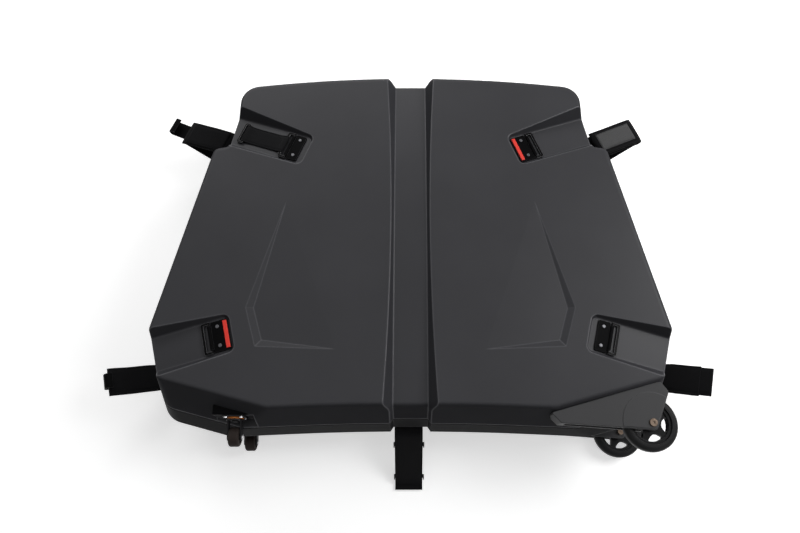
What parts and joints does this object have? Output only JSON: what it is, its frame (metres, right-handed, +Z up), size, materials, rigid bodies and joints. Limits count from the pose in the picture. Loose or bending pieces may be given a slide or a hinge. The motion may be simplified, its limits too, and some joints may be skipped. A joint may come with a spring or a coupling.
{
  "type": "bike travel case",
  "caption": "Hard bike travel case of two grey shells with strap fittings, side straps, spoked corner wheels and swivel casters.",
  "frame": {"origin": "middle of the footprint on the floor, under the closed case lying on its rear half", "axes": "+X across the case towards the main wheels, +Y away from the wheel edge, +Z up through the front face"},
  "size_m": [1.5515, 1.0983, 0.29],
  "materials": {
    "shell_grey": "satin grain",
    "rim_grey": "satin",
    "seal_black": "matte",
    "tyre_black": "matte",
    "wheel_black": "satin",
    "guard_grey": "fine grain",
    "axle_bronze": "worn",
    "bright_steel": "bright",
    "race_orange": "satin",
    "caster_tread": "matte",
    "caster_steel": "satin",
    "tab_red": "satin",
    "strap_black": "woven",
    "foam_grey": "open cell",
    "fitting_black": "satin"
  },
  "bodies": {
    "rear_half": {"rear_shell": "shell_grey", "rear_rim": "rim_grey", "rim_seal": "seal_black", "rear_strap_plates": "fitting_black", "rear_strap_bars": "fitting_black", "rear_plate_screws": "bright_steel", "side_strap_upper_left": "strap_black", "strap_hook_upper_left": "fitting_black", "side_strap_upper_right": "strap_black", "side_strap_lower_left": "strap_black", "strap_hook_lower_left": "fitting_black", "side_strap_lower_right": "strap_black", "bottom_strap": "strap_black", "bottom_strap_slides": "fitting_black", "bottom_strap_anchor": "fitting_black", "wheel_guard_rear": "guard_grey", "wheel_axle_rear": "axle_bronze", "caster_pod_rear": "fitting_black", "caster_plate_rear": "caster_steel", "caster_bolts_rear": "bright_steel", "caster_race_rear": "race_orange", "rear_foam": "foam_grey", "frame_straps": "strap_black", "frame_strap_anchors": "fitting_black"},
    "front_half": {"front_shell": "shell_grey", "front_rim": "rim_grey", "front_plate_upper_left": "fitting_black", "front_plate_upper_right": "fitting_black", "front_plate_lower_left": "fitting_black", "front_plate_lower_right": "fitting_black", "front_plate_screws": "bright_steel", "wheel_guard_front": "guard_grey", "wheel_axle_front": "axle_bronze", "caster_pod_front": "fitting_black", "caster_plate_front": "caster_steel", "caster_bolts_front": "bright_steel", "caster_race_front": "race_orange", "front_foam": "foam_grey"},
    "loop_upper_left": {"front_loop_upper_left": "fitting_black", "upper_left_webbing": "strap_black", "upper_left_end_ring": "fitting_black"},
    "loop_upper_right": {"front_loop_upper_right": "fitting_black"},
    "loop_lower_left": {"front_loop_lower_left": "fitting_black"},
    "loop_lower_right": {"front_loop_lower_right": "fitting_black"},
    "tab_upper_right": {"release_tab_upper_right": "tab_red"},
    "tab_lower_left": {"release_tab_lower_left": "tab_red"},
    "main_wheel_front": {"wheel_tyre_front": "tyre_black", "wheel_rim_front": "wheel_black", "wheel_bearings_front": "bright_steel"},
    "fork_front": {"caster_fork_front": "caster_steel", "caster_axle_front": "bright_steel"},
    "roller_front": {"caster_wheel_front": "caster_tread"},
    "main_wheel_rear": {"wheel_tyre_rear": "tyre_black", "wheel_rim_rear": "wheel_black", "wheel_bearings_rear": "bright_steel"},
    "fork_rear": {"caster_fork_rear": "caster_steel", "caster_axle_rear": "bright_steel"},
    "roller_rear": {"caster_wheel_rear": "caster_tread"}
  },
  "joints": [
    {"name": "front_lift", "type": "slide", "parent": "rear_half", "child": "front_half", "axis": [0, 0, 1], "range_m": [0, 0.4]},
    {"name": "loop_swing_upper_left", "type": "hinge", "parent": "front_half", "child": "loop_upper_left", "pos_m": [-0.31986, 0.30499, 0.28065], "axis": [0.3584, 0.9336, 0], "range_deg": [0, 100]},
    {"name": "loop_swing_upper_right", "type": "hinge", "parent": "front_half", "child": "loop_upper_right", "pos_m": [0.31986, 0.30499, 0.28065], "axis": [0.3584, -0.9336, 0], "range_deg": [0, 145]},
    {"name": "loop_swing_lower_left", "type": "hinge", "parent": "front_half", "child": "loop_lower_left", "pos_m": [-0.46948, -0.21599, 0.28065], "axis": [-0.2588, 0.9659, 0], "range_deg": [0, 145]},
    {"name": "loop_swing_lower_right", "type": "hinge", "parent": "front_half", "child": "loop_lower_right", "pos_m": [0.46948, -0.21599, 0.28065], "axis": [-0.2588, -0.9659, 0], "range_deg": [0, 145]},
    {"name": "tab_press_upper_right", "type": "slide", "parent": "front_half", "child": "tab_upper_right", "axis": [-0.1105, -0.0424, -0.993], "range_m": [0, 0.0018], "stiffness_N_per_m": 400},
    {"name": "tab_press_lower_left", "type": "slide", "parent": "front_half", "child": "tab_lower_left", "axis": [0.1144, 0.0306, -0.993], "range_m": [0, 0.0018], "stiffness_N_per_m": 400},
    {"name": "wheel_spin_front", "type": "hinge", "parent": "front_half", "child": "main_wheel_front", "pos_m": [0.54201, -0.40896, 0.259], "axis": [0, 0, 1], "continuous": true},
    {"name": "caster_swivel_front", "type": "hinge", "parent": "front_half", "child": "fork_front", "pos_m": [-0.409, -0.38804, 0.22199], "axis": [0, 1, 0], "continuous": true},
    {"name": "caster_roll_front", "type": "hinge", "parent": "fork_front", "child": "roller_front", "pos_m": [-0.409, -0.43424, 0.20999], "axis": [1, 0, 0], "continuous": true},
    {"name": "wheel_spin_rear", "type": "hinge", "parent": "rear_half", "child": "main_wheel_rear", "pos_m": [0.54201, -0.40896, 0.031], "axis": [0, 0, 1], "continuous": true},
    {"name": "caster_swivel_rear", "type": "hinge", "parent": "rear_half", "child": "fork_rear", "pos_m": [-0.409, -0.38804, 0.06801], "axis": [0, 1, 0], "continuous": true},
    {"name": "caster_roll_rear", "type": "hinge", "parent": "fork_rear", "child": "roller_rear", "pos_m": [-0.409, -0.43424, 0.05601], "axis": [1, 0, 0], "continuous": true}
  ]
}
